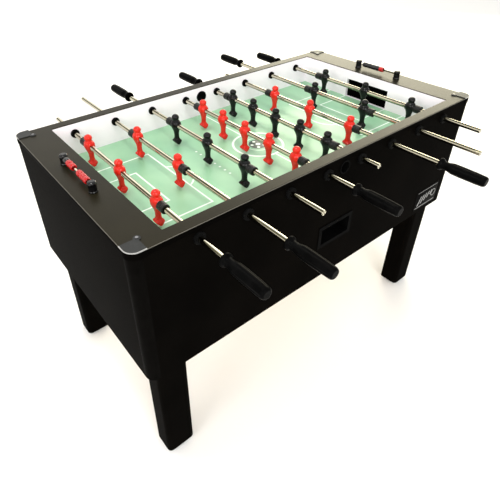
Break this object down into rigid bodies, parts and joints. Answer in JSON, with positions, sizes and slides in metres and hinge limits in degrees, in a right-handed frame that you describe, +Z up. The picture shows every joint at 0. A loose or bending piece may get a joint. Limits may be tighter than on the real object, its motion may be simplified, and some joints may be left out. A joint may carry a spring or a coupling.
{
  "type": "foosball table",
  "caption": "Foosball table: sliding, spinning rods of players over a walled green pitch, in a black panelled cabinet on legs, with bead scorers and a ball return.",
  "frame": {"origin": "on the floor, under the middle of the table", "axes": "+X along the pitch towards the black team's goal, +Y across it towards the black team's side, +Z up"},
  "size_m": [1.425, 1.379, 0.946],
  "materials": {
    "black_panel": "satin black laminate on board",
    "rim_laminate": "satin charcoal-olive laminate",
    "white_laminate": "satin white laminate on board",
    "pitch_laminate": "satin printed green laminate with white pitch lines",
    "plain_board": "plain fibre board",
    "corner_moulding": "fine-grained black plastic moulding",
    "corner_cap_plastic": "dark grey grained plastic",
    "black_moulding": "black injection moulding",
    "bearing_plastic": "black self-lubricating plastic",
    "gloss_black": "gloss black plastic",
    "bead_black": "gloss black plastic",
    "bead_red": "gloss red plastic",
    "red_player": "gloss red moulded plastic",
    "black_player": "gloss black moulded plastic",
    "grip_plastic": "satin black ribbed plastic",
    "bumper_rubber": "soft black rubber",
    "leveller_rubber": "hard black rubber",
    "rod_chrome": "polished chrome steel",
    "fastener_steel": "black zinc steel"
  },
  "bodies": {
    "cabinet": {"side_panel_front": "black_panel", "side_panel_rear": "black_panel", "side_liners": "white_laminate", "end_panels": "black_panel", "corner_posts": "corner_moulding", "corner_caps": "corner_cap_plastic", "top_decks": "rim_laminate", "side_rails": "rim_laminate", "end_walls": "white_laminate", "playfield_board": "pitch_laminate", "field_battens": "plain_board", "cabinet_floor": "plain_board", "goal_boxes": "black_moulding", "ball_runways": "plain_board", "ball_return_tray": "black_moulding", "serve_cups": "black_moulding", "rod_bearings": "bearing_plastic", "bearing_nuts": "bearing_plastic", "legs": "black_panel", "leg_levellers": "leveller_rubber", "cabinet_fasteners": "fastener_steel", "scorer_posts": "gloss_black", "scorer_wires": "rod_chrome"},
    "left_far_beads": {"left_black_bead": "bead_black", "left_far_red_beads": "bead_red"},
    "left_near_beads": {"left_near_red_beads": "bead_red"},
    "right_beads": {"right_black_beads": "bead_black", "right_red_bead": "bead_red"},
    "red_goal_carriage": {"red_goal_bumpers": "bumper_rubber"},
    "red_goal_spinner": {"red_goal_rod": "rod_chrome", "red_goal_men": "red_player", "red_goal_grip": "grip_plastic"},
    "red_defence_carriage": {"red_defence_bumpers": "bumper_rubber"},
    "red_defence_spinner": {"red_defence_rod": "rod_chrome", "red_defence_men": "red_player", "red_defence_grip": "grip_plastic"},
    "black_forward_carriage": {"black_forward_bumpers": "bumper_rubber"},
    "black_forward_spinner": {"black_forward_rod": "rod_chrome", "black_forward_men": "black_player", "black_forward_grip": "grip_plastic"},
    "red_midfield_carriage": {"red_midfield_bumpers": "bumper_rubber"},
    "red_midfield_spinner": {"red_midfield_rod": "rod_chrome", "red_midfield_men": "red_player", "red_midfield_grip": "grip_plastic"},
    "black_midfield_carriage": {"black_midfield_bumpers": "bumper_rubber"},
    "black_midfield_spinner": {"black_midfield_rod": "rod_chrome", "black_midfield_men": "black_player", "black_midfield_grip": "grip_plastic"},
    "red_forward_carriage": {"red_forward_bumpers": "bumper_rubber"},
    "red_forward_spinner": {"red_forward_rod": "rod_chrome", "red_forward_men": "red_player", "red_forward_grip": "grip_plastic"},
    "black_defence_carriage": {"black_defence_bumpers": "bumper_rubber"},
    "black_defence_spinner": {"black_defence_rod": "rod_chrome", "black_defence_men": "black_player", "black_defence_grip": "grip_plastic"},
    "black_goal_carriage": {"black_goal_bumpers": "bumper_rubber"},
    "black_goal_spinner": {"black_goal_rod": "rod_chrome", "black_goal_men": "black_player", "black_goal_grip": "grip_plastic"}
  },
  "joints": [
    {"name": "red_goal_slide", "type": "slide", "parent": "cabinet", "child": "red_goal_carriage", "axis": [0, 1, 0], "range_m": [-0.1005, 0.0645]},
    {"name": "red_goal_spin", "type": "hinge", "parent": "red_goal_carriage", "child": "red_goal_spinner", "pos_m": [-0.53025, 0, 0.877], "axis": [0, 1, 0], "continuous": true},
    {"name": "red_defence_slide", "type": "slide", "parent": "cabinet", "child": "red_defence_carriage", "axis": [0, 1, 0], "range_m": [-0.226, 0.112]},
    {"name": "red_defence_spin", "type": "hinge", "parent": "red_defence_carriage", "child": "red_defence_spinner", "pos_m": [-0.37875, 0, 0.877], "axis": [0, 1, 0], "continuous": true},
    {"name": "black_forward_slide", "type": "slide", "parent": "cabinet", "child": "black_forward_carriage", "axis": [0, 1, 0], "range_m": [-0.0985, 0.1105]},
    {"name": "black_forward_spin", "type": "hinge", "parent": "black_forward_carriage", "child": "black_forward_spinner", "pos_m": [-0.22725, 0, 0.877], "axis": [0, 1, 0], "continuous": true},
    {"name": "red_midfield_slide", "type": "slide", "parent": "cabinet", "child": "red_midfield_carriage", "axis": [0, 1, 0], "range_m": [-0.0355, 0.0655]},
    {"name": "red_midfield_spin", "type": "hinge", "parent": "red_midfield_carriage", "child": "red_midfield_spinner", "pos_m": [-0.07575, 0, 0.877], "axis": [0, 1, 0], "continuous": true},
    {"name": "black_midfield_slide", "type": "slide", "parent": "cabinet", "child": "black_midfield_carriage", "axis": [0, 1, 0], "range_m": [-0.0455, 0.0555]},
    {"name": "black_midfield_spin", "type": "hinge", "parent": "black_midfield_carriage", "child": "black_midfield_spinner", "pos_m": [0.07575, 0, 0.877], "axis": [0, 1, 0], "continuous": true},
    {"name": "red_forward_slide", "type": "slide", "parent": "cabinet", "child": "red_forward_carriage", "axis": [0, 1, 0], "range_m": [-0.0755, 0.1335]},
    {"name": "red_forward_spin", "type": "hinge", "parent": "red_forward_carriage", "child": "red_forward_spinner", "pos_m": [0.22725, 0, 0.877], "axis": [0, 1, 0], "continuous": true},
    {"name": "black_defence_slide", "type": "slide", "parent": "cabinet", "child": "black_defence_carriage", "axis": [0, 1, 0], "range_m": [-0.1335, 0.2045]},
    {"name": "black_defence_spin", "type": "hinge", "parent": "black_defence_carriage", "child": "black_defence_spinner", "pos_m": [0.37875, 0, 0.877], "axis": [0, 1, 0], "continuous": true},
    {"name": "black_goal_slide", "type": "slide", "parent": "cabinet", "child": "black_goal_carriage", "axis": [0, 1, 0], "range_m": [-0.0385, 0.1265]},
    {"name": "black_goal_spin", "type": "hinge", "parent": "black_goal_carriage", "child": "black_goal_spinner", "pos_m": [0.53025, 0, 0.877], "axis": [0, 1, 0], "continuous": true},
    {"name": "left_far_beads_slide", "type": "slide", "parent": "cabinet", "child": "left_far_beads", "axis": [0, 1, 0], "range_m": [-0.0295, 0]},
    {"name": "left_near_beads_slide", "type": "slide", "parent": "cabinet", "child": "left_near_beads", "axis": [0, 1, 0], "range_m": [0, 0.0295]},
    {"name": "right_beads_slide", "type": "slide", "parent": "cabinet", "child": "right_beads", "axis": [0, 1, 0], "range_m": [-0.0495, 0]}
  ]
}
